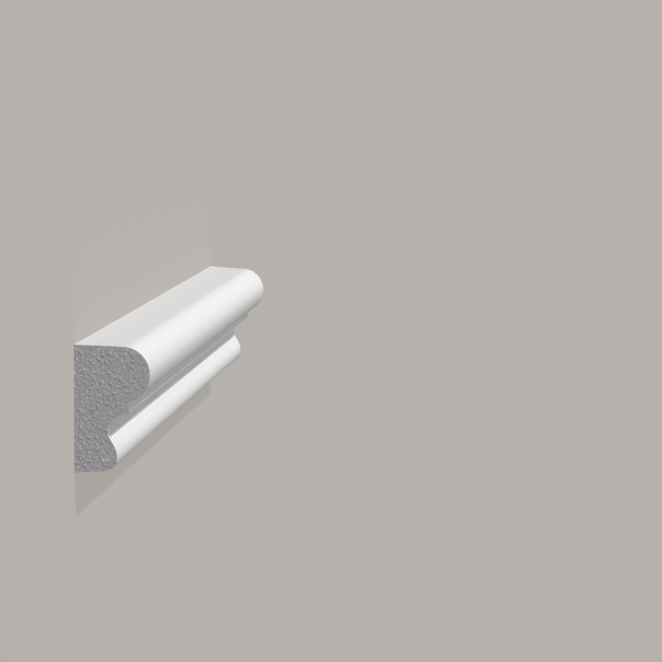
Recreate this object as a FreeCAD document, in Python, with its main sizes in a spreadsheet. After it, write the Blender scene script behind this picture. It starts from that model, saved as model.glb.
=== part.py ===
import FreeCAD, Part
import math
import os

import Sketcher

# One length of moulding, lying on its flat back.
# X runs along the length, Y from the bead up to the torus and Z out from the back.
# The origin is the centre of the back. The square end is at -X, the mitred end at +X.

# Driving sizes in millimetres, angles in degrees.
# The section is a stack, from the back out: web, cove, torus overhang,
# and from the lower edge up: bead, cove face, cove, fillet, torus.
SIZES = {
    "run_length": 750.0,
    "mitre_angle": 45.0,
    "web": 10.65,
    "cove_depth": 6.4,
    "torus_overhang": 6.6,
    "torus_radius": 8.75,
    "top_fall": 2.4,
    "fillet_height": 3.55,
    "cove_rise": 4.1,
    "cove_foot_radius": 2.8,
    "cove_face": 3.03,
    "bead_stand": 2.77,
    "bead_slope": 30.0,
    "bead_shoulder_radius": 8.0,
    "bead_nose_radius": 4.0,
    "bottom_rise": 3.1,
    "arris_radius": 0.35,
}

START, END, CENTRE = 1, 2, 3
ORIGIN = (-1, 1)


def make_sheet(doc):
    sheet = doc.addObject("Spreadsheet::Sheet", "sizes")
    for row, (alias, value) in enumerate(SIZES.items(), start=1):
        sheet.set("A%d" % row, alias)
        sheet.set("B%d" % row, str(value))
        sheet.setAlias("B%d" % row, alias)
    doc.recompute()
    return sheet


def origin_plane(body, role):
    return next(f for f in body.Origin.OriginFeatures if f.Role == role)


def add_sketch(body, name, role):
    sketch = body.newObject("Sketcher::SketchObject", name)
    sketch.AttachmentSupport = [(origin_plane(body, role), "")]
    sketch.MapMode = "FlatFace"
    return sketch


def add_size(sketch, name, expression, *constraint):
    # A constraint with a name, bound to cells of the sheet.
    index = sketch.addConstraint(Sketcher.Constraint(*constraint))
    sketch.renameConstraint(index, name)
    sketch.setExpression("Constraints." + name, expression)


def polar(centre, radius, angle):
    return centre + FreeCAD.Vector(radius * math.cos(angle), radius * math.sin(angle), 0)


def arc(centre, radius, start, end):
    circle = Part.Circle(centre, FreeCAD.Vector(0, 0, 1), radius)
    return Part.ArcOfCircle(circle, start, end)


def section_geometry(sheet):
    # The outline in (height, projection), drawn in place so that the constraints only hold it.
    # It goes round from the lower back corner: back, top, torus, fillet, cove, cove face,
    # then the bead's slope, shoulder, nose and bottom.
    point = FreeCAD.Vector
    top_fall = math.radians(sheet.top_fall)
    bottom_rise = math.radians(sheet.bottom_rise)
    bead_slope = math.radians(sheet.bead_slope)
    bead_out = sheet.web + sheet.bead_stand
    fillet_out = sheet.web + sheet.cove_depth

    nose_radius = sheet.bead_nose_radius
    nose_height = (nose_radius / math.cos(bottom_rise)
                   + (bead_out - nose_radius) * math.tan(bottom_rise))
    nose_centre = point(nose_height, bead_out - nose_radius, 0)
    bottom_end = polar(nose_centre, nose_radius, math.pi - bottom_rise)

    shoulder_radius = sheet.bead_shoulder_radius
    shoulder_centre = point(nose_height, bead_out - shoulder_radius, 0)
    slope_end = polar(shoulder_centre, shoulder_radius, math.pi / 2 - bead_slope)
    slope_run = slope_end.y - sheet.web
    slope_start = point(slope_end.x + slope_run / math.tan(bead_slope), sheet.web, 0)

    # The cove turns on two centres: a tight arc at its foot, and a wide lip up to the fillet
    # whose radius is the one that meets the foot smoothly.
    depth, rise, foot_radius = sheet.cove_depth, sheet.cove_rise, sheet.cove_foot_radius
    lip_radius = (((depth - foot_radius) ** 2 + rise ** 2 - foot_radius ** 2)
                  / (2 * (rise - foot_radius)))
    lip_start = math.atan2(foot_radius - depth, lip_radius - rise)
    cove_foot = point(slope_start.x + sheet.cove_face, sheet.web, 0)
    cove_top = point(cove_foot.x + rise, fillet_out, 0)
    foot_centre = point(cove_foot.x, sheet.web + foot_radius, 0)
    lip_centre = point(cove_top.x - lip_radius, fillet_out, 0)

    quirk = point(cove_top.x + sheet.fillet_height, fillet_out, 0)
    torus_radius = sheet.torus_radius
    quirk_out = torus_radius - sheet.torus_overhang
    torus_centre = point(quirk.x + math.sqrt(torus_radius ** 2 - quirk_out ** 2),
                         fillet_out - quirk_out, 0)
    quirk_angle = math.atan2(quirk.y - torus_centre.y, quirk.x - torus_centre.x)
    top_end = polar(torus_centre, torus_radius, top_fall)
    top_back = point(top_end.x + top_end.y * math.tan(top_fall), 0, 0)

    centred = point(-top_back.x / 2, 0, 0)
    outline = [
        Part.LineSegment(point(0, 0, 0), top_back),
        Part.LineSegment(top_back, top_end),
        arc(torus_centre, torus_radius, top_fall, quirk_angle),
        Part.LineSegment(quirk, cove_top),
        arc(lip_centre, lip_radius, lip_start, 0),
        arc(foot_centre, foot_radius, -math.pi / 2, lip_start),
        Part.LineSegment(cove_foot, slope_start),
        Part.LineSegment(slope_start, slope_end),
        arc(shoulder_centre, shoulder_radius, math.pi / 2 - bead_slope, math.pi / 2),
        arc(nose_centre, nose_radius, math.pi / 2, math.pi - bottom_rise),
        Part.LineSegment(point(0, 0, 0), bottom_end),
    ]
    for curve in outline:
        curve.translate(centred)
    return outline


def draw_section(body, sheet):
    sketch = add_sketch(body, "section", "YZ_Plane")
    (back, top, torus, fillet, lip, foot, cove_face,
     slope, shoulder, nose, bottom) = sketch.addGeometry(section_geometry(sheet), False)

    joined = [
        ("Coincident", back, START, bottom, START),
        ("Coincident", back, END, top, START),
        ("Tangent", top, END, torus, START),
        ("Coincident", torus, END, fillet, START),
        ("Coincident", fillet, END, lip, END),
        ("Tangent", lip, START, foot, END),
        ("Tangent", foot, START, cove_face, START),
        ("Coincident", cove_face, END, slope, START),
        ("Tangent", slope, END, shoulder, START),
        ("Tangent", shoulder, END, nose, START),
        ("Tangent", nose, END, bottom, END),
    ]
    placed = [
        ("Horizontal", back),
        ("Symmetric", back, START, back, END, *ORIGIN),
        ("Horizontal", fillet),
        ("Horizontal", cove_face),
        ("Horizontal", lip, CENTRE, lip, END),
        ("Vertical", shoulder, CENTRE, shoulder, END),
    ]
    for constraint in joined + placed:
        sketch.addConstraint(Sketcher.Constraint(*constraint))

    def size(name, expression, *constraint):
        add_size(sketch, name, expression, *constraint)

    size("web", "sizes.web", "DistanceY", *ORIGIN, cove_face, START, sheet.web)
    size("cove_depth", "sizes.cove_depth",
         "DistanceY", foot, START, lip, END, sheet.cove_depth)
    size("cove_rise", "sizes.cove_rise",
         "DistanceX", foot, START, lip, END, sheet.cove_rise)
    size("cove_foot_radius", "sizes.cove_foot_radius",
         "Radius", foot, sheet.cove_foot_radius)
    size("cove_face", "sizes.cove_face",
         "DistanceX", cove_face, END, cove_face, START, sheet.cove_face)
    size("fillet_height", "sizes.fillet_height",
         "DistanceX", fillet, END, fillet, START, sheet.fillet_height)
    size("torus_radius", "sizes.torus_radius", "Radius", torus, sheet.torus_radius)
    size("torus_centre",
         "sizes.web + sizes.cove_depth + sizes.torus_overhang - sizes.torus_radius",
         "DistanceY", *ORIGIN, torus, CENTRE, sketch.getPoint(torus, CENTRE).y)
    size("top_fall", "(90 + sizes.top_fall) * 1 deg",
         "Angle", top, math.radians(90 + sheet.top_fall))
    size("bead_out", "sizes.web + sizes.bead_stand",
         "DistanceY", *ORIGIN, shoulder, END, sheet.web + sheet.bead_stand)
    size("bead_slope", "(180 - sizes.bead_slope) * 1 deg",
         "Angle", slope, math.radians(180 - sheet.bead_slope))
    size("bead_shoulder_radius", "sizes.bead_shoulder_radius",
         "Radius", shoulder, sheet.bead_shoulder_radius)
    size("bead_nose_radius", "sizes.bead_nose_radius",
         "Radius", nose, sheet.bead_nose_radius)
    size("bottom_rise", "(90 - sizes.bottom_rise) * 1 deg",
         "Angle", bottom, math.radians(90 - sheet.bottom_rise))

    body.Document.recompute()
    return sketch, sketch.getPoint(fillet, END)


def edge_along_run(shape, place):
    # The edge that runs the whole length through a corner of the section.
    def off_corner(edge):
        middle = edge.valueAt((edge.FirstParameter + edge.LastParameter) / 2)
        return math.hypot(middle.y - place.x, middle.z - place.y) + abs(middle.x)

    nearest = min(range(len(shape.Edges)), key=lambda i: off_corner(shape.Edges[i]))
    return "Edge%d" % (nearest + 1)


def draw_mitre(body, sheet):
    # A wedge, drawn in X and Z. Its sloping side passes through the long point, at the back's
    # far edge, and runs past the stock by one projection each way.
    sketch = add_sketch(body, "mitre_wedge", "XZ_Plane")
    out = sheet.web + sheet.cove_depth + sheet.torus_overhang
    slant = math.tan(math.radians(sheet.mitre_angle))
    tip = FreeCAD.Vector(sheet.run_length / 2 + out * slant, -out, 0)
    heel = FreeCAD.Vector(sheet.run_length / 2 - 2 * out * slant, 2 * out, 0)
    corner = FreeCAD.Vector(tip.x, heel.y, 0)
    cut, over, side = sketch.addGeometry([
        Part.LineSegment(tip, heel),
        Part.LineSegment(heel, corner),
        Part.LineSegment(corner, tip),
    ], False)
    for constraint in (
        ("Coincident", cut, END, over, START),
        ("Coincident", over, END, side, START),
        ("Coincident", side, END, cut, START),
        ("Horizontal", over),
        ("Vertical", side),
    ):
        sketch.addConstraint(Sketcher.Constraint(*constraint))

    projection = "(sizes.web + sizes.cove_depth + sizes.torus_overhang)"
    add_size(sketch, "tip_along",
             "sizes.run_length / 2 + " + projection + " * tan(sizes.mitre_angle * 1 deg)",
             "DistanceX", *ORIGIN, cut, START, tip.x)
    add_size(sketch, "tip_below", projection, "DistanceY", cut, START, *ORIGIN, out)
    add_size(sketch, "wedge_height", "3 * " + projection,
             "DistanceY", side, END, side, START, 3 * out)
    add_size(sketch, "mitre_angle", "(90 + sizes.mitre_angle) * 1 deg",
             "Angle", cut, math.radians(90 + sheet.mitre_angle))
    body.Document.recompute()
    return sketch


def make_moulding(doc, sheet):
    body = doc.addObject("PartDesign::Body", "moulding")
    body.Label = "wall_moulding"

    section, fillet_arris = draw_section(body, sheet)
    run = body.newObject("PartDesign::Pad", "run")
    run.Profile = section
    run.SideType = "Symmetric"
    run.setExpression("Length", "sizes.run_length")
    doc.recompute()

    eased = body.newObject("PartDesign::Fillet", "eased_arris")
    eased.Base = (run, [edge_along_run(run.Shape, fillet_arris)])
    eased.setExpression("Radius", "sizes.arris_radius")
    doc.recompute()

    mitre = body.newObject("PartDesign::Pocket", "mitre")
    mitre.Profile = draw_mitre(body, sheet)
    mitre.Type = "ThroughAll"
    mitre.SideType = "Symmetric"
    doc.recompute()

    if not mitre.Shape.Volume < eased.Shape.Volume < run.Shape.Volume:
        raise RuntimeError("the arris or the mitre took nothing off the run")
    return body


def check(doc, bodies):
    for item in doc.Objects:
        if "Invalid" in item.State or "Error" in item.State:
            raise RuntimeError("%s failed: %s" % (item.Name, item.State))
    for body in bodies:
        if body.Shape.isNull() or not body.Shape.isValid() or len(body.Shape.Solids) != 1:
            raise RuntimeError("%s isn't one valid solid" % body.Label)


doc = FreeCAD.newDocument("wall_moulding")
sheet = make_sheet(doc)
bodies = [make_moulding(doc, sheet)]
doc.recompute()
check(doc, bodies)

os.makedirs("parts", exist_ok=True)
for body in bodies:
    body.Shape.exportStep(os.path.join("parts", body.Label + ".step"))
    box = body.Shape.BoundBox
    print("%s: %.2f x %.2f x %.2f mm, volume %.0f mm3"
          % (body.Label, box.XLength, box.YLength, box.ZLength, body.Shape.Volume))
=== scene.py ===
import math

import bpy
import numpy as np
from mathutils import Matrix, Vector


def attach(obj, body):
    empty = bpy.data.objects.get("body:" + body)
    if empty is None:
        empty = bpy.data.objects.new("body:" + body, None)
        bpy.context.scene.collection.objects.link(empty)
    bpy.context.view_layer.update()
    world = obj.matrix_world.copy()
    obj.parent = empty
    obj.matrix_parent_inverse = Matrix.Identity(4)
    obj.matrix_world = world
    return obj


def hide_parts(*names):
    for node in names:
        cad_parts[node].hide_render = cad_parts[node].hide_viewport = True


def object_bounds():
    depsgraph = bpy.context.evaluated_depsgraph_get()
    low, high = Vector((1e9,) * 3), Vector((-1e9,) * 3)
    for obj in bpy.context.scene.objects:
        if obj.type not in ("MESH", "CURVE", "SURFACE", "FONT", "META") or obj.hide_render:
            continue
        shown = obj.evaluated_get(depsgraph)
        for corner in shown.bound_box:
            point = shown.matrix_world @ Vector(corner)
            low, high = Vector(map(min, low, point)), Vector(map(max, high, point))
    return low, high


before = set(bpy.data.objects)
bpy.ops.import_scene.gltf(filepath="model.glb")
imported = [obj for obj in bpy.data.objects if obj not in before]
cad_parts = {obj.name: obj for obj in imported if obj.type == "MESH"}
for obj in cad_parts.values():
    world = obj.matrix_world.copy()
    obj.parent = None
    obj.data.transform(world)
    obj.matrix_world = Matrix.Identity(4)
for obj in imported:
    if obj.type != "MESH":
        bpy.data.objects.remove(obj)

cadLow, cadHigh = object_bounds()
mm = 0.001
print("frame loaded, box", tuple(cadLow), tuple(cadHigh))


class Wire:
    # A node socket to do sums with: each operator adds one Math node to its tree.
    def __init__(self, tree, socket=None):
        self.tree = tree
        self.socket = socket

    # Adds any other node: its settings first, then values or wires for its inputs.
    def node(self, kind, settings=None, output=0, **inputs):
        made = self.tree.nodes.new(kind)
        for name, value in (settings or {}).items():
            setattr(made, name, value)
        for name, value in inputs.items():
            key = int(name[1:]) if name[1:].isdigit() else name.replace("_", " ")
            if isinstance(value, Wire):
                self.tree.links.new(value.socket, made.inputs[key])
            else:
                made.inputs[key].default_value = value
        return Wire(self.tree, made.outputs[output]) if len(made.outputs) else made

    def maths(self, operation, *values):
        return self.node("ShaderNodeMath", {"operation": operation},
                         **{"i%d" % i: value for i, value in enumerate(values)})

    def __add__(self, other):
        return self.maths("ADD", self, other)

    def __sub__(self, other):
        return self.maths("SUBTRACT", self, other)

    def __rsub__(self, other):
        return self.maths("SUBTRACT", other, self)

    def __mul__(self, other):
        return self.maths("MULTIPLY", self, other)

    __radd__ = __add__
    __rmul__ = __mul__


# Heights on numpy grids, for relief that is really in the mesh.

def slopeNoise(x, y, cell, seed):
    # A slope in a random direction stands in each corner of a square lattice, and a point
    # blends the heights of the four slopes round it by the fade t*t*t*(t*(6t-15)+10).
    column, row = x / cell, y / cell
    column, row = column - column.min(), row - row.min()
    shape = (int(row.max()) + 2, int(column.max()) + 2)
    turn = 2 * np.pi * np.random.default_rng(seed).random(shape)
    i, j = row.astype(int), column.astype(int)
    v, u = row - i, column - j
    fadeV, fadeU = (t * t * t * (t * (6 * t - 15) + 10) for t in (v, u))
    corners = [np.cos(turn[i + di, j + dj]) * (u - dj) + np.sin(turn[i + di, j + dj]) * (v - di)
               for di in (0, 1) for dj in (0, 1)]
    low = corners[0] * (1 - fadeU) + corners[1] * fadeU
    high = corners[2] * (1 - fadeU) + corners[3] * fadeU
    return low * (1 - fadeV) + high * fadeV


def warpedNoise(x, y, cell, seed):
    # The same noise with its places first pushed about by a wider one, so that no row shows.
    push = 0.7 * cell
    wider = 1.7 * cell
    return slopeNoise(x + push * slopeNoise(x, y, wider, seed + 1),
                      y + push * slopeNoise(x, y, wider, seed + 2), cell, seed)


# The moulding, in millimetres and degrees.
stock = {
    # The section, as in the construction.
    "web": 10.65, "coveDepth": 6.4, "torusOverhang": 6.6, "torusRadius": 8.75,
    "topFall": 2.4, "filletHeight": 3.55, "coveRise": 4.1, "coveFootRadius": 2.8,
    "coveFace": 3.03, "beadStand": 2.77, "beadSlope": 30.0, "shoulderRadius": 8.0,
    "noseRadius": 4.0, "bottomRise": 3.1, "arrisRadius": 0.35,

    # The mesh.
    "faceStep": 0.15,       # spacing of points along the face
    "arcStep": 12,          # most degrees between points of a tight arc
    "touching": 1e-6,       # ends nearer than this need no line between them
    "acrossSteps": 100,     # steps from the back to the face
    "ringShares": (0, 0.001, 0.02, 0.2, 0.4, 0.6, 0.8, 0.98, 0.999),   # places along the run
    "sharpEdge": 25,        # least turn of an edge that is left sharp

    # The torn relief of the square end.
    "tearAngle": 70,        # the way that the blade tore, down from straight out
    "crumbSize": 0.9, "crumbDepth": 0.355, "crumbStretch": 1.25,
    "crumbLift": 0.1, "crumbPower": 1.5, "crumbSeed": 71,
    "grainSize": 0.5, "grainDepth": 0.10, "grainSeed": 75,

    # The burrs round it: how far they stand out, how far along the run they go, and how far
    # they take to fade inside the end and at the ends of the face.
    "burrSize": 0.9, "burrReach": 0.9, "burrLength": 0.4, "burrFade": 1.2, "burrEase": 6,
    "burrLift": 0.1, "burrSeed": 31,
    "burrAllRound": 0.1,    # share of a burr where the face doesn't look down
    "burrSeen": 0.02,       # least burr that bares the foam

    # The strokes of the saw on the mitre.
    "sawPitch": 0.8, "sawDepth": 0.03, "sawWave": 6, "sawSeed": 21,
    "sawGrain": 0.06, "sawGrainSeed": 22,
}


def polar(centre, radius, degrees):
    # The centre plus the radius times the cosine and the sine of the angle.
    angle = np.radians(degrees)
    return np.stack([centre[0] + radius * np.cos(angle), centre[1] + radius * np.sin(angle)], -1)


def faceOutline(size):
    # The face of the section in (height, distance out), from the lower edge of the bead to
    # the upper edge of the torus: lines and arcs end to end, each tangent to the next but at
    # the bead's foot and at the quirk under the torus.
    beadOut = size["web"] + size["beadStand"]
    filletOut = size["web"] + size["coveDepth"]
    rise = math.radians(size["bottomRise"])
    noseOut = beadOut - size["noseRadius"]
    nose = (size["noseRadius"] / math.cos(rise) + noseOut * math.tan(rise), noseOut)
    shoulder = (nose[0], beadOut - size["shoulderRadius"])
    slopeTop = 90 - size["beadSlope"]
    slopeEnd = polar(shoulder, size["shoulderRadius"], slopeTop)
    slopeRise = (slopeEnd[1] - size["web"]) / math.tan(math.radians(size["beadSlope"]))
    slopeFoot = (slopeEnd[0] + slopeRise, size["web"])

    small, coveRise, depth = size["coveFootRadius"], size["coveRise"], size["coveDepth"]
    wide = ((depth - small) ** 2 + coveRise ** 2 - small ** 2) / (2 * (coveRise - small))
    footHeight = slopeFoot[0] + size["coveFace"]
    foot = (footHeight, size["web"] + small)
    lip = (footHeight + coveRise - wide, filletOut)
    turn = math.degrees(math.atan2(small - depth, wide - coveRise))
    ease = size["arrisRadius"]
    arris = (lip[0] + math.sqrt((wide + ease) ** 2 - ease ** 2), filletOut - ease)
    easeTurn = math.degrees(math.asin(ease / (wide + ease)))

    quirkOut = size["torusRadius"] - size["torusOverhang"]
    quirkHeight = footHeight + coveRise + size["filletHeight"]
    torus = (quirkHeight + math.sqrt(size["torusRadius"] ** 2 - quirkOut ** 2),
             filletOut - quirkOut)
    quirkTurn = 180 - math.degrees(math.asin(quirkOut / size["torusRadius"]))

    # Arcs from the bead upward, with the corner at the bead's foot between the second and third.
    step = size["faceStep"]

    def arc(centre, radius, start, end):
        length = radius * math.radians(abs(end - start))
        count = max(round(length / step), round(abs(end - start) / size["arcStep"]), 2)
        return polar(centre, radius, np.linspace(start, end, count + 1))

    pieces = [
        arc(nose, size["noseRadius"], 180 - size["bottomRise"], 90),
        arc(shoulder, size["shoulderRadius"], 90, slopeTop),
        np.array([slopeFoot]),
        arc(foot, small, -90, turn),
        arc(lip, wide, turn, -easeTurn),
        arc(arris, ease, 180 - easeTurn, 90),
        arc(torus, size["torusRadius"], quirkTurn, size["topFall"]),
    ]
    outline = pieces[0]
    for piece in pieces[1:]:
        gap = piece[0] - outline[-1]
        length = np.linalg.norm(gap)
        if length > size["touching"]:
            share = np.linspace(0, 1, max(round(length / step), 1) + 1)[1:, None]
            outline = np.concatenate([outline, outline[-1] + share * gap])
        outline = np.concatenate([outline, piece[1:]])

    height = outline[-1, 0] + outline[-1, 1] * math.tan(math.radians(size["topFall"]))
    return outline, height


def sectionGrid(size):
    # Points over the whole section, row 0 on the back and the last row on the face:
    # (1 - t) times the point on the back plus t times the point on the face.
    face, height = faceOutline(size)
    along = np.linalg.norm(np.diff(face, axis=0), axis=1)
    share = np.concatenate([[0], np.cumsum(along)]) / along.sum()
    back = np.stack([share * height, np.zeros_like(share)], -1)
    t = np.linspace(0, 1, size["acrossSteps"] + 1)[:, None, None]
    grid = (1 - t) * back + t * face
    return grid[..., 0] - height / 2, grid[..., 1]


def crumbRelief(y, z, size):
    # Depth of the rough cut below its highest crumb. A crumb stands where the noise plus its
    # lift is above nil, as a power of that sum, with a finer grain over it. The crumbs are
    # drawn out down and away from the back, the way that the blade tore.
    tear = math.radians(size["tearAngle"])
    drawn = (z * math.cos(tear) - y * math.sin(tear)) / size["crumbStretch"]
    crossing = z * math.sin(tear) + y * math.cos(tear)
    crumb = warpedNoise(drawn, crossing, size["crumbSize"], size["crumbSeed"])
    crumb = np.clip(crumb + size["crumbLift"], 0, None) ** size["crumbPower"]
    grain = warpedNoise(drawn, crossing, size["grainSize"], size["grainSeed"])
    raised = crumb * size["crumbDepth"] + np.clip(grain, 0, None) * size["grainDepth"]
    return raised.max() - raised


def sawRelief(y, z, size):
    # Depth of the mitre's cleaner cut: the sine of the saw's strokes, made slightly wavy by
    # a noise, plus a fine grain.
    wave = slopeNoise(z, y, size["sawWave"], size["sawSeed"])
    stroke = np.sin(2 * np.pi * (z / size["sawPitch"] + wave))
    grain = warpedNoise(z, y, size["grainSize"], size["sawGrainSeed"])
    relief = stroke * size["sawDepth"] / 2 + grain * size["sawGrain"]
    return relief - relief.min()


def raggedRim(y, z, size):
    # Burrs of the square end: the face's edge moves out of the section by a noise plus its
    # lift, nil where that sum is below nil, times a share that grows as the face looks down.
    # The move fades out inside the end and towards both ends of the face.
    edge = np.stack([y[-1], z[-1]], -1)
    along = np.gradient(edge, axis=0)
    outward = np.stack([-along[:, 1], along[:, 0]], -1) / np.linalg.norm(along, axis=1)[:, None]
    run = np.arange(len(edge)) * size["faceStep"]
    torn = slopeNoise(run, run * 0, size["burrSize"], size["burrSeed"]) + size["burrLift"]
    ends = np.clip(np.minimum(run, run[-1] - run) / size["burrEase"], 0, 1)
    share = size["burrAllRound"] + np.clip(-outward[:, 0], 0, 1)
    burrs = np.clip(torn, 0, None) * share * ends * size["burrReach"]
    depth = np.hypot(y - y[-1], z - z[-1])
    fade = np.clip(1 - depth / size["burrFade"], 0, 1)
    return y + fade * burrs * outward[:, 0], z + fade * burrs * outward[:, 1], burrs


def ringOf(grid):
    # The rim of a grid, once round: up its first column, along the face,
    # down its last column and home along the back.
    return np.concatenate([grid[:-1, 0], grid[-1, :-1], grid[:0:-1, -1], grid[0, :0:-1]])


def quadsOf(grid):
    # The four corners of each cell of a grid, once round.
    corners = [grid[:-1, :-1], grid[1:, :-1], grid[1:, 1:], grid[:-1, 1:]]
    return np.stack(corners, -1).reshape(-1, 4)


def makeMoulding(size, low, high):
    y, z = sectionGrid(size)
    rows, columns = y.shape
    halfLength = high.x / mm

    # The two ends, each a grid over the section set back by its relief.
    raggedY, raggedZ, burrs = raggedRim(y, z, size)
    nearX = -halfLength + crumbRelief(raggedY, raggedZ, size)
    farX = halfLength - z - sawRelief(y, z, size)
    near = np.stack([nearX, raggedY, raggedZ], -1).reshape(-1, 3)
    far = np.stack([farX, y, z], -1).reshape(-1, 3)

    # The long faces: the outline carried from just behind the square end to the mitre. A
    # place along the run is the start plus a share of the way to the mitre.
    index = np.arange(rows * columns).reshape(rows, columns)
    rim = ringOf(index)
    start = nearX.ravel()[rim] + size["burrLength"]
    share = np.array(size["ringShares"])[:, None]
    x = start + share * (far[rim, 0] - start)
    heights = np.broadcast_to(far[rim, 1], x.shape)
    distances = np.broadcast_to(far[rim, 2], x.shape)
    carried = np.stack([x, heights, distances], -1)

    vertices = np.concatenate([near, far, carried.reshape(-1, 3)]) * mm
    vertices = np.clip(vertices, low, high)
    perRing = len(rim)
    rings = 2 * index.size + np.arange(len(share) * perRing).reshape(len(share), perRing)
    rings = np.concatenate([rim[None], rings, rim[None] + index.size])
    rings = np.concatenate([rings, rings[:, :1]], 1)
    ends = np.concatenate([quadsOf(index), quadsOf(index + index.size)[:, ::-1]])
    quads = np.concatenate([ends, quadsOf(rings)])

    # The finish of each face, as its place in the piece's list of materials.
    primed, sawn, bare = range(3)
    onBack = np.arange(perRing) >= perRing - (columns - 1)
    torn = np.zeros(perRing, bool)
    torn[rows - 1:rows - 1 + columns] = burrs > size["burrSeen"]
    bands = np.tile(np.where(onBack, bare, primed), (len(rings) - 1, 1))
    bands[0, torn] = sawn
    finish = np.concatenate([np.full(len(ends), sawn), bands.ravel()])
    return vertices, quads, finish


def meshFrom(name, vertices, quads, finish):
    mesh = bpy.data.meshes.new(name)
    mesh.vertices.add(len(vertices))
    mesh.vertices.foreach_set("co", vertices.astype(np.float32).ravel())
    mesh.loops.add(quads.size)
    mesh.loops.foreach_set("vertex_index", quads.astype(np.int32).ravel())
    mesh.polygons.add(len(quads))
    mesh.polygons.foreach_set("loop_start", np.arange(0, quads.size, 4, dtype=np.int32))
    mesh.polygons.foreach_set("material_index", finish.astype(np.int32))
    mesh.update(calc_edges=True)
    mesh.validate()
    piece = bpy.data.objects.new(name, mesh)
    bpy.context.scene.collection.objects.link(piece)
    return piece


def newMaterial(name):
    material = bpy.data.materials.new(name)
    material.use_nodes = True
    tree = material.node_tree
    tree.nodes.clear()
    wire = Wire(tree)
    shader = tree.nodes.new("ShaderNodeBsdfPrincipled")
    output = tree.nodes.new("ShaderNodeOutputMaterial")
    tree.links.new(shader.outputs[0], output.inputs[0])
    return material, wire, shader


def connect(wire, shader, **inputs):
    for name, value in inputs.items():
        socket = shader.inputs[name.replace("_", " ")]
        if isinstance(value, Wire):
            wire.tree.links.new(value.socket, socket)
        else:
            socket.default_value = value


def objectPlace(wire):
    return wire.node("ShaderNodeTexCoord", output="Object")


def noise(wire, place, scale, detail, stretch=None, rough=0.5):
    if stretch:
        place = wire.node("ShaderNodeMapping", {"vector_type": "POINT"},
                          Vector=place, Scale=stretch)
    return wire.node("ShaderNodeTexNoise", {"noise_dimensions": "3D"},
                     Vector=place, Scale=scale, Detail=detail, Roughness=rough)


def blendColours(wire, factor, dark, light):
    # The dark colour may be a wire, a colour that is blended already.
    first = dark if isinstance(dark, Wire) else (*dark, 1)
    return wire.node("ShaderNodeMix", {"data_type": "RGBA"}, output=2,
                     Factor=factor, i6=first, i7=(*light, 1))


def bumpOf(wire, height):
    # A surface turned by a height in millimetres.
    return wire.node("ShaderNodeBump", Height=height, Strength=1.0, Distance=mm)


# In the finishes a noise's scale is how many there are to the metre, and its tone, height
# and roughness are how much it changes the blend of colours, the relief in millimetres
# and the roughness.
halfway = 0.5    # the middle of a noise's range and of a blend

# Satin white primer.
primer = {
    "light": (0.862, 0.867, 0.883), "dark": (0.828, 0.832, 0.85), "roughness": 0.42,
    "clouds": {"scale": 28, "detail": 3},
    "streaks": {"scale": 900, "detail": 2, "stretch": (0.004, 1, 1)},
    "stipple": {"scale": 1700, "detail": 2},
    "cloudTone": 0.6, "streakTone": 0.4, "streakHeight": 0.012, "stippleHeight": 0.010,
    "cloudRoughness": 0.1, "stippleRoughness": 0.12,
}


def primerMaterial(size):
    material, wire, shader = newMaterial("satinPrimer")
    place = objectPlace(wire)
    clouds = noise(wire, place, **size["clouds"])
    streaks = noise(wire, place, **size["streaks"])
    stipple = noise(wire, place, **size["stipple"])
    tone = clouds * size["cloudTone"] + streaks * size["streakTone"]
    colour = blendColours(wire, tone, size["dark"], size["light"])
    roughness = (size["roughness"] + (stipple - halfway) * size["stippleRoughness"]
                 + (clouds - halfway) * size["cloudRoughness"])
    relief = streaks * size["streakHeight"] + stipple * size["stippleHeight"]
    connect(wire, shader, Base_Color=colour, Roughness=roughness, Normal=bumpOf(wire, relief))
    return material


# Sawn foam of the core. Its greys are partly the core's own colour and partly painted shade,
# darkening the square end as shade would.
foam = {
    "light": (0.585, 0.577, 0.608), "dark": (0.405, 0.398, 0.425), "roughness": 0.85,
    "clouds": {"scale": 900, "detail": 3, "rough": 0.6},
    "grain": {"scale": 2600, "detail": 2},
    "cloudTone": 1.6, "grainTone": 0.8, "grainHeight": 0.05, "grainRoughness": 0.2,
    # Torn cell walls: small pale flecks, raised, drawn out the same way as the crumbs. They
    # stand where their noise is above one level, and in full above the next.
    "flecks": {"scale": 1900, "detail": 1},
    "fleckColour": (0.79, 0.785, 0.81), "fleckLevels": (0.60, 0.72),
    "fleckStretch": 0.38, "fleckHeight": 0.10,
}


def foamMaterial(size, tearAngle):
    material, wire, shader = newMaterial("sawnFoam")
    place = objectPlace(wire)
    clouds = noise(wire, place, **size["clouds"])
    grain = noise(wire, place, **size["grain"])
    turned = wire.node("ShaderNodeMapping", {"vector_type": "TEXTURE"}, Vector=place,
                       Rotation=(math.radians(tearAngle), 0, 0),
                       Scale=(1, 1, 1 / size["fleckStretch"]))
    flecks = noise(wire, turned, **size["flecks"])
    none, full = size["fleckLevels"]
    fleck = wire.node("ShaderNodeMapRange", {"interpolation_type": "SMOOTHSTEP"},
                      Value=flecks, i1=none, i2=full)
    tone = ((clouds - halfway) * size["cloudTone"] + (grain - halfway) * size["grainTone"]
            + halfway)
    # The grey of this blend holds painted shade of the end as well as the core's own tone.
    body = blendColours(wire, tone, size["dark"], size["light"])
    colour = blendColours(wire, fleck, body, size["fleckColour"])
    roughness = size["roughness"] + (grain - halfway) * size["grainRoughness"]
    relief = grain * size["grainHeight"] + fleck * size["fleckHeight"]
    connect(wire, shader, Base_Color=colour, Roughness=roughness, Normal=bumpOf(wire, relief))
    return material


# The core's bare skin on the back.
bareBack = {
    "light": (0.70, 0.695, 0.70), "dark": (0.62, 0.615, 0.62), "roughness": 0.7,
    "streaks": {"scale": 700, "detail": 3, "stretch": (0.01, 1, 1)},
    "pores": {"scale": 1400, "detail": 2},
    "streakTone": 0.6, "poreTone": 0.4, "streakHeight": 0.02, "poreHeight": 0.03,
    "poreRoughness": 0.2,
}


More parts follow.
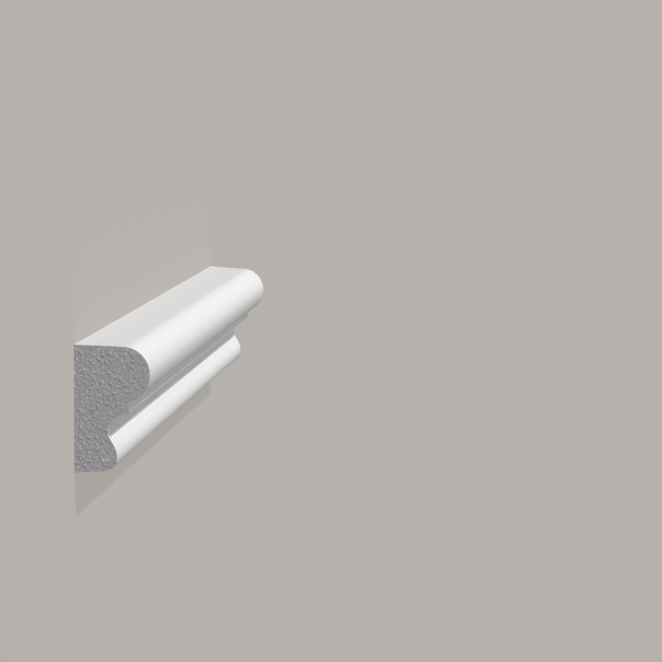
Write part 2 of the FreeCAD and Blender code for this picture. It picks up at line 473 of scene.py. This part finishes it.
def backMaterial(size):
    material, wire, shader = newMaterial("foamSkin")
    place = objectPlace(wire)
    streaks = noise(wire, place, **size["streaks"])
    pores = noise(wire, place, **size["pores"])
    tone = streaks * size["streakTone"] + pores * size["poreTone"]
    colour = blendColours(wire, tone, size["dark"], size["light"])
    roughness = size["roughness"] + (pores - halfway) * size["poreRoughness"]
    relief = streaks * size["streakHeight"] + pores * size["poreHeight"]
    connect(wire, shader, Base_Color=colour, Roughness=roughness, Normal=bumpOf(wire, relief))
    return material


vertices, quads, finish = makeMoulding(stock, cadLow, cadHigh)
moulding = meshFrom("moulding_stock", vertices, quads, finish)
for material in (primerMaterial(primer), foamMaterial(foam, stock["tearAngle"]),
                 backMaterial(bareBack)):
    moulding.data.materials.append(material)
moulding.data.shade_smooth()
moulding.data.set_sharp_from_angle(angle=math.radians(stock["sharpEdge"]))
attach(moulding, "root")
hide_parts("wall_moulding")
print("moulding made,", len(quads) * 2, "triangles")


# Studio: a pale floor, two lamps, and a world of soft light.
studio = {
    "floorHalf": 60.0, "floorColour": (0.70, 0.665, 0.625),
    "shadowFill": 0.78,     # how much of the floor's shadow is filled for the eye
    # Lamps, each the direction it shines from, its level and its width in degrees: the key,
    # and a wide weak one beyond the mitred end.
    "lamps": [((-0.36, 0.739, 0.569), 0.742, 1.5), ((0.90, 0.30, 0.316), 0.118, 40.0)],
    # Soft lights of the world, each a direction, a level and how fast it fades from there:
    # over the face, and low from the side that the key leaves dark.
    "soft": [((0.0, 0.0, 1.0), 0.48, 4.0), ((0.0, -0.966, 0.259), 0.35, 4.0)],
    "skySteps": 60,         # directions each way in the sum of the soft lights
}


def litFloor(size):
    # The colour of the floor with nothing on it: the lamps, and the mean of the soft lights
    # over directions crowded towards straight up.
    steps = np.arange(size["skySteps"])
    share, turn = np.meshgrid((steps + 0.5) / len(steps), np.radians(steps * 360 / len(steps)))
    aside = np.sqrt(1 - share)
    around = np.stack([aside * np.cos(turn), aside * np.sin(turn), np.sqrt(share)], -1)
    lit = sum(level * Vector(toward).normalized().z for toward, level, _ in size["lamps"])
    for middle, brightness, power in size["soft"]:
        lit += brightness * float(np.mean(np.clip(around @ middle, 0, None) ** power))
    return (*(c * lit for c in size["floorColour"]), 1)


def eyeRays(wire):
    # One for what the camera sees, straight, mirrored or through glass, and nil for light.
    rays = wire.tree.nodes.new("ShaderNodeLightPath").outputs
    seen, mirrored, through = (Wire(wire.tree, rays["Is %s Ray" % kind])
                               for kind in ("Camera", "Glossy", "Transmission"))
    return wire.maths("MAXIMUM", wire.maths("MAXIMUM", seen, mirrored), through)


def makeFloor(size):
    half = size["floorHalf"]
    corners = [(-half, -half, 0), (half, -half, 0), (half, half, 0), (-half, half, 0)]
    mesh = bpy.data.meshes.new("floor")
    mesh.from_pydata(corners, [], [(0, 1, 2, 3)])
    floor = bpy.data.objects.new("floor", mesh)
    bpy.context.scene.collection.objects.link(floor)
    material, wire, shader = newMaterial("floorPaint")
    connect(wire, shader, Base_Color=(*size["floorColour"], 1),
            Roughness=1.0, Specular_IOR_Level=0.0)
    fill = wire.node("ShaderNodeEmission", Color=litFloor(size), Strength=1.0)
    shown = wire.node("ShaderNodeMixShader", Fac=eyeRays(wire) * size["shadowFill"],
                      i1=Wire(wire.tree, shader.outputs[0]), i2=fill)
    wire.tree.links.new(shown.socket, wire.tree.nodes["Material Output"].inputs["Surface"])
    mesh.materials.append(material)


def makeLamps(size):
    for toward, level, width in size["lamps"]:
        sun = bpy.data.lights.new("lamp", "SUN")
        sun.energy = level * math.pi      # a white face square to the lamp reflects its level
        sun.angle = math.radians(width)
        lamp = bpy.data.objects.new("lamp", sun)
        lamp.rotation_mode = "QUATERNION"
        lamp.rotation_quaternion = Vector(toward).to_track_quat("Z", "Y")
        bpy.context.scene.collection.objects.link(lamp)


def makeWorld(size):
    world = bpy.data.worlds.new("studio")
    bpy.context.scene.world = world
    world.use_nodes = True
    tree = world.node_tree
    tree.nodes.clear()
    wire = Wire(tree)
    # A soft light's level is a power of the cosine of the angle from its middle.
    direction = wire.node("ShaderNodeTexCoord", output="Generated")
    level = 0.0
    for middle, brightness, power in size["soft"]:
        cosine = wire.node("ShaderNodeVectorMath", {"operation": "DOT_PRODUCT"},
                           output="Value", i0=direction, i1=middle)
        lobe = wire.maths("POWER", wire.maths("MAXIMUM", cosine, 0.0), power)
        level = lobe * brightness + level
    light = wire.node("ShaderNodeBackground", Color=(1, 1, 1, 1), Strength=level)

    # The background has the lit floor's colour, so that the two meet without a line.
    backdrop = wire.node("ShaderNodeBackground", Color=litFloor(size), Strength=1.0)
    shown = wire.node("ShaderNodeMixShader", Fac=eyeRays(wire), i1=light, i2=backdrop)
    wire.node("ShaderNodeOutputWorld", Surface=shown)


# The camera looks along the length from the square end.
view = {
    "focal": 6511.0, "centre": 331.0,                    # pixels, in a picture 662 wide
    "back": 2023.2, "aboveFoot": 130.7, "out": 158.05,   # mm from the end's lower back corner
    "aim": (6500.0, -277.3, -250.1),                     # the way it looks, along X, Y and Z
    "sensor": 36,                                        # mm across
    "near": 0.05, "far": 120,                            # where sight starts and ends, in metres
}


def makeCamera(size, low):
    camera = bpy.data.cameras.new("camera")
    camera.sensor_width = size["sensor"]
    camera.lens = size["focal"] / (2 * size["centre"]) * camera.sensor_width
    camera.clip_start = size["near"]
    camera.clip_end = size["far"]
    eye = bpy.data.objects.new("camera", camera)
    bpy.context.scene.collection.objects.link(eye)

    # Rolled so that +Y is up in the picture, and the floor stands at its left.
    forward = Vector(size["aim"]).normalized()
    right = forward.cross(Vector((0, 1, 0))).normalized()
    up = right.cross(forward)
    turn = Matrix((right, up, -forward)).transposed()
    eye.rotation_mode = "QUATERNION"
    eye.rotation_quaternion = turn.to_quaternion()
    eye.location = (low.x - size["back"] * mm, low.y + size["aboveFoot"] * mm, size["out"] * mm)
    bpy.context.scene.camera = eye


makeFloor(studio)
makeLamps(studio)
makeWorld(studio)
makeCamera(view, cadLow)
bpy.context.scene.view_settings.view_transform = "Standard"
print("studio made")
